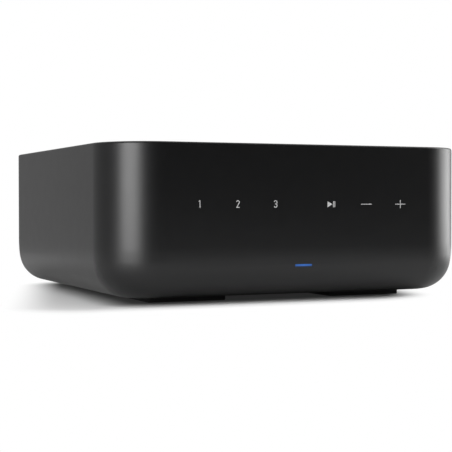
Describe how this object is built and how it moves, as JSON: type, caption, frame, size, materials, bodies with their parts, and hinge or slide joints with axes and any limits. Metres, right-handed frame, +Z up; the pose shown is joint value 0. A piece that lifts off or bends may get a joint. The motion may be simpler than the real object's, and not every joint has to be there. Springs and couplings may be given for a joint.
{
  "type": "streaming amplifier",
  "caption": "Compact rounded-square amplifier with a touch-key front, light bar, and a rear bay of speaker terminals, sockets, power switch and mains inlet.",
  "frame": {"origin": "on the floor under the middle of the housing", "axes": "+Z up, -Y out of the front face, +X to the right as the front is seen"},
  "size_m": [0.22, 0.22, 0.0858],
  "materials": {
    "housing_plastic": "satin black moulding",
    "cover_plastic": "satin black moulding",
    "foot_rubber": "matt black rubber",
    "black_steel": "black oxide",
    "panel_steel": "fine textured black powder coat",
    "bright_screw": "zinc plate",
    "light_acrylic": "clear bar lit blue",
    "board_dark": "dark green solder mask",
    "touch_foam": "conductive foam",
    "ribbon_white": "white flat cable",
    "chip_black": "moulded packages",
    "shield_tin": "tin plate",
    "aerial_film": "copper film on backing",
    "lead_black": "wire insulation",
    "lead_mixed": "wire insulation",
    "ferrite": "ferrite",
    "winding_tape": "yellow winding tape",
    "capacitor_sleeve": "shrunk sleeve with bare end",
    "copper_wire": "enamelled copper",
    "fuse_glass": "glass tube",
    "sink_aluminium": "extruded",
    "sink_black": "black anodised extrusion",
    "inductor_grey": "moulded chokes",
    "socket_black": "moulded sockets",
    "contact_gold": "gold flash",
    "pin_nickel": "nickel plate",
    "shell_steel": "tin plate",
    "phono_gold": "gold flash",
    "phono_white": "moulded core",
    "phono_red": "moulded core",
    "phono_black": "moulded core",
    "cap_red": "moulded cap",
    "cap_black": "moulded cap",
    "terminal_gold": "gold plate",
    "button_grey": "moulded key"
  },
  "bodies": {
    "housing": {"body_shell": "housing_plastic", "top_cover": "cover_plastic", "cover_screws": "black_steel", "light_guide": "light_acrylic", "touch_board": "board_dark", "touch_pads": "touch_foam", "ribbon_cable": "ribbon_white", "board_screws": "bright_screw", "main_board": "board_dark", "main_components": "chip_black", "network_module": "shield_tin", "wifi_aerials": "aerial_film", "aerial_leads": "lead_black", "supply_board": "board_dark", "transformer_core": "ferrite", "transformer_coil": "winding_tape", "capacitors": "capacitor_sleeve", "mains_choke": "copper_wire", "mains_fuse": "fuse_glass", "supply_heat_sink": "sink_aluminium", "amplifier_board": "board_dark", "amplifier_heat_sink": "sink_black", "output_inductors": "inductor_grey", "speaker_leads": "lead_mixed", "mains_leads": "lead_mixed", "rear_panel": "panel_steel", "panel_screws": "black_steel", "mains_inlet": "socket_black", "mains_pins": "pin_nickel", "switch_frame": "socket_black", "ethernet_socket": "socket_black", "ethernet_contacts": "contact_gold", "usb_socket": "shell_steel", "usb_tongue": "socket_black", "video_socket": "shell_steel", "video_tongue": "socket_black", "optical_socket": "socket_black", "jack_sockets": "socket_black", "phono_sleeves": "phono_gold", "line_left_body": "phono_white", "line_right_body": "phono_red", "subwoofer_body": "phono_black", "post_stems": "terminal_gold", "post_bases": "cap_black", "post_nuts": "bright_screw", "foot_front_left": "foot_rubber", "foot_front_right": "foot_rubber", "foot_rear_left": "foot_rubber", "foot_rear_right": "foot_rubber"},
    "switch_rocker": {"switch_rocker": "socket_black"},
    "setup_button": {"setup_button": "button_grey"},
    "optical_shutter": {"optical_shutter": "socket_black"},
    "left_negative_washer": {"left_negative_washer": "terminal_gold"},
    "left_negative_cap": {"left_negative_cap": "cap_black"},
    "left_positive_washer": {"left_positive_washer": "terminal_gold"},
    "left_positive_cap": {"left_positive_cap": "cap_red"},
    "right_negative_washer": {"right_negative_washer": "terminal_gold"},
    "right_negative_cap": {"right_negative_cap": "cap_black"},
    "right_positive_washer": {"right_positive_washer": "terminal_gold"},
    "right_positive_cap": {"right_positive_cap": "cap_red"}
  },
  "joints": [
    {"name": "power_rocker", "type": "hinge", "parent": "housing", "child": "switch_rocker", "pos_m": [-0.02857, 0.0926, 0.048], "axis": [1, 0, 0], "range_deg": [-18, 0]},
    {"name": "setup_button_press", "type": "slide", "parent": "housing", "child": "setup_button", "axis": [0, -1, 0], "range_m": [0, 0.0006], "stiffness_N_per_m": 800, "springref_m": -0.0004},
    {"name": "optical_shutter_swing", "type": "hinge", "parent": "housing", "child": "optical_shutter", "pos_m": [0.00933, 0.0915, 0.0256], "axis": [-1, 0, 0], "range_deg": [0, 85], "stiffness_Nm_per_rad": 0.0003, "springref_deg": -28.65},
    {"name": "left_negative_washer_slide", "type": "slide", "parent": "housing", "child": "left_negative_washer", "axis": [0, 1, 0], "range_m": [0, 0.005]},
    {"name": "left_negative_cap_turn", "type": "hinge", "parent": "left_negative_washer", "child": "left_negative_cap", "pos_m": [-0.00313, 0.0978, 0.048], "axis": [0, 1, 0], "range_deg": [0, 1800]},
    {"name": "left_positive_washer_slide", "type": "slide", "parent": "housing", "child": "left_positive_washer", "axis": [0, 1, 0], "range_m": [0, 0.005]},
    {"name": "left_positive_cap_turn", "type": "hinge", "parent": "left_positive_washer", "child": "left_positive_cap", "pos_m": [0.01587, 0.0978, 0.048], "axis": [0, 1, 0], "range_deg": [0, 1800]},
    {"name": "right_negative_washer_slide", "type": "slide", "parent": "housing", "child": "right_negative_washer", "axis": [0, 1, 0], "range_m": [0, 0.005]},
    {"name": "right_negative_cap_turn", "type": "hinge", "parent": "right_negative_washer", "child": "right_negative_cap", "pos_m": [0.0412, 0.0978, 0.048], "axis": [0, 1, 0], "range_deg": [0, 1800]},
    {"name": "right_positive_washer_slide", "type": "slide", "parent": "housing", "child": "right_positive_washer", "axis": [0, 1, 0], "range_m": [0, 0.005]},
    {"name": "right_positive_cap_turn", "type": "hinge", "parent": "right_positive_washer", "child": "right_positive_cap", "pos_m": [0.0602, 0.0978, 0.048], "axis": [0, 1, 0], "range_deg": [0, 1800]}
  ],
  "couplings": [
    {"joint": "left_negative_cap_turn", "follows": "left_negative_washer_slide", "rad_per_m": 6283.2},
    {"joint": "left_positive_cap_turn", "follows": "left_positive_washer_slide", "rad_per_m": 6283.2},
    {"joint": "right_negative_cap_turn", "follows": "right_negative_washer_slide", "rad_per_m": 6283.2},
    {"joint": "right_positive_cap_turn", "follows": "right_positive_washer_slide", "rad_per_m": 6283.2}
  ]
}
